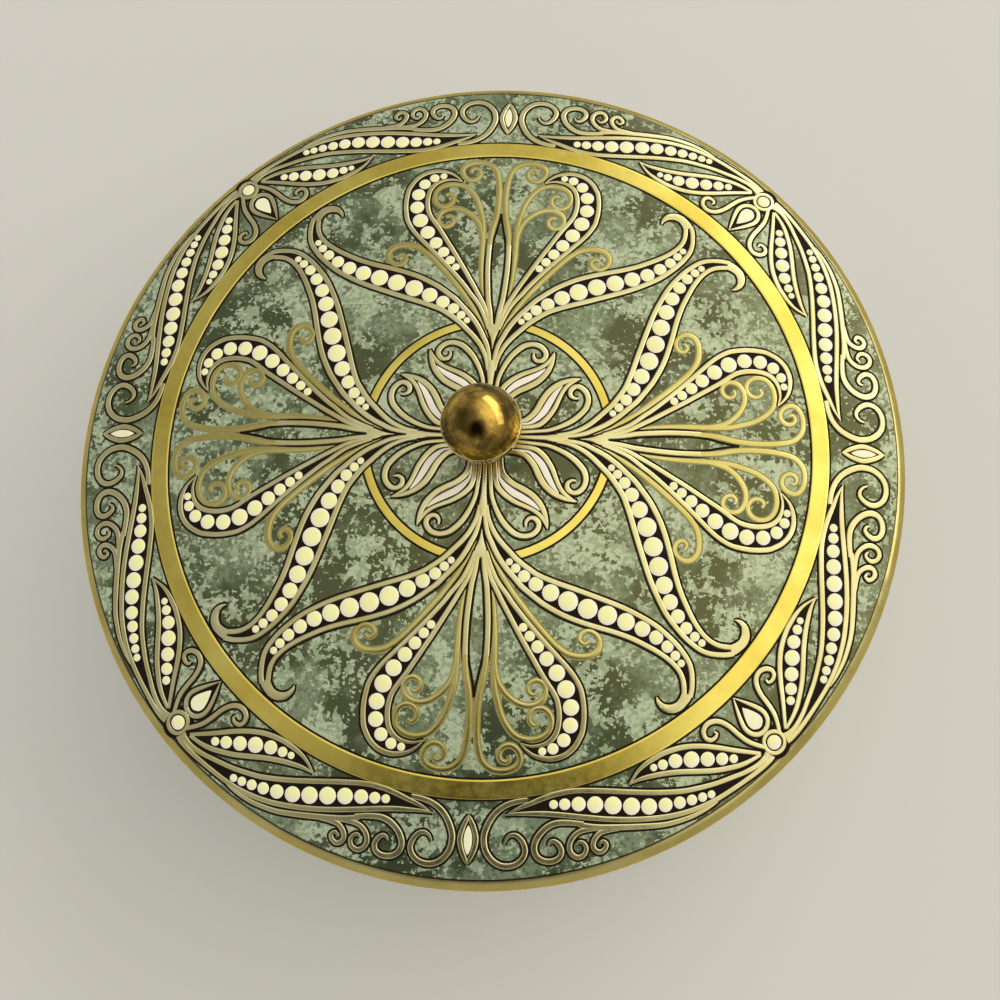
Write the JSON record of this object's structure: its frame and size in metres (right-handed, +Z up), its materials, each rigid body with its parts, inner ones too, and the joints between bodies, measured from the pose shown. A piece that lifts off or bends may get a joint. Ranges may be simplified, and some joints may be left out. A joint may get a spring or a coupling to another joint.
{
  "type": "decorative tin",
  "caption": "Round tinplate box with a curled rim and a seamed base, closed by a shallow domed slip lid that lifts off by a hollow brass ball knob.",
  "frame": {"origin": "on the tin's axis, at the level that the base seam stands on", "axes": "+Z up along the tin's axis, +Y towards the side seam at the back, +X to the right"},
  "size_m": [0.2136, 0.2136, 0.1105],
  "materials": {
    "printed_tin": "mottled green print with gold lacquer, satin",
    "bare_tin": "rolled tinplate, satin",
    "brass": "polished and tarnished",
    "steel": "zinc plated"
  },
  "bodies": {
    "tin_body": {"body_wall": "printed_tin", "base_panel": "bare_tin"},
    "lid": {"lid_shell": "printed_tin", "knob_cap": "brass", "knob_cup": "brass", "knob_insert": "brass", "knob_collar": "brass", "knob_screw": "steel", "screw_washer": "steel"}
  },
  "joints": [
    {"name": "lid_lift", "type": "slide", "parent": "tin_body", "child": "lid", "axis": [0, 0, 1], "range_m": [0, 0.06]}
  ]
}
